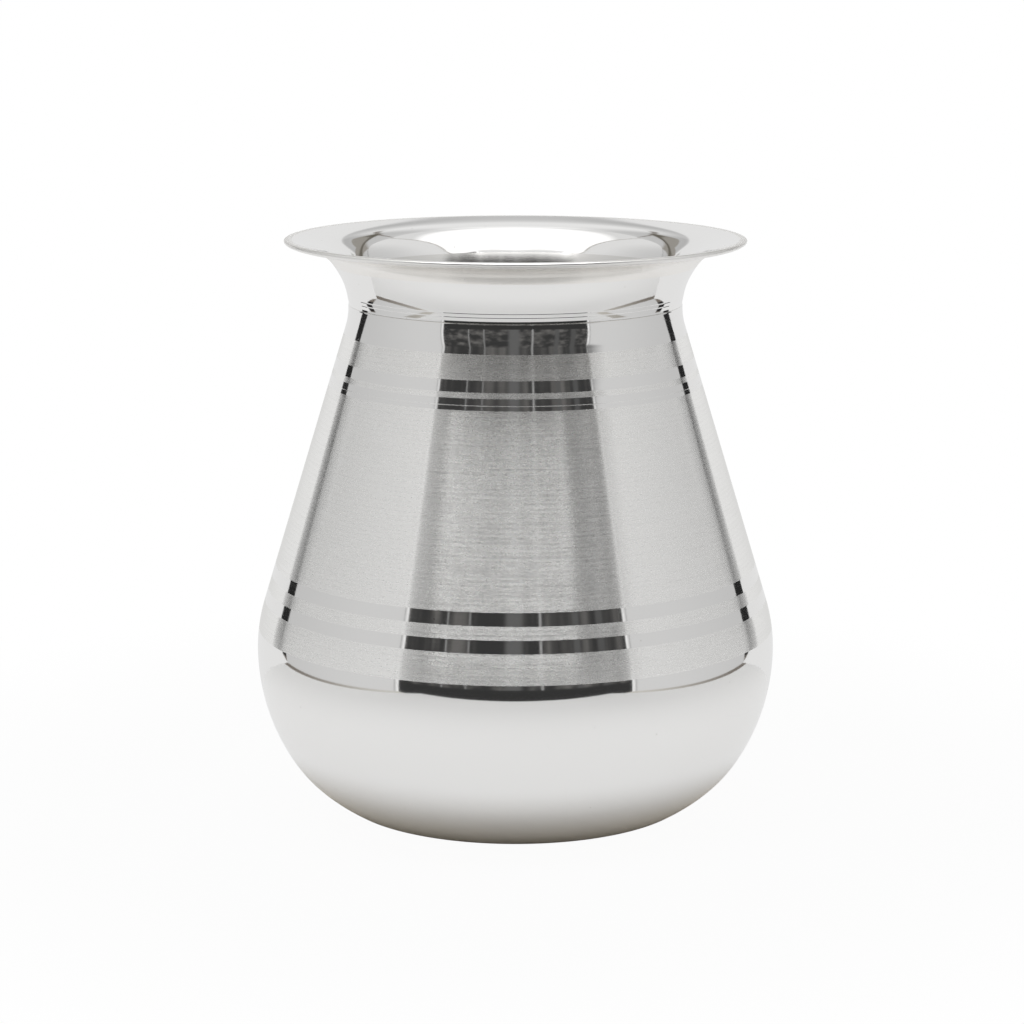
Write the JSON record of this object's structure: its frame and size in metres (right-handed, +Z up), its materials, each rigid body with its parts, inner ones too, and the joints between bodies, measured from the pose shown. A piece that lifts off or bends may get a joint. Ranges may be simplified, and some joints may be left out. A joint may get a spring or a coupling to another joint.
{
  "type": "lota",
  "caption": "Lota, a polished silver water vessel with a rounded bowl on a flat base, a tall satin cone, a narrow neck and a wide flared mouth.",
  "frame": {"origin": "on the vessel's axis, in the plane that the base rests on", "axes": "+Z up along the vessel's axis, out of the mouth; the vessel is round, so X and Y are any two level directions"},
  "size_m": [0.0914, 0.0914, 0.1],
  "materials": {
    "silver_mirror": "mirror-polished silver with fine hairlines",
    "silver_satin": "satin silver brushed round the axis, between narrow mirror bands",
    "silver_solder": "dull hard solder, as it froze"
  },
  "bodies": {
    "root": {"bowl": "silver_mirror", "shoulder": "silver_satin", "neck": "silver_mirror", "waist_solder": "silver_solder", "neck_solder": "silver_solder"}
  },
  "joints": []
}
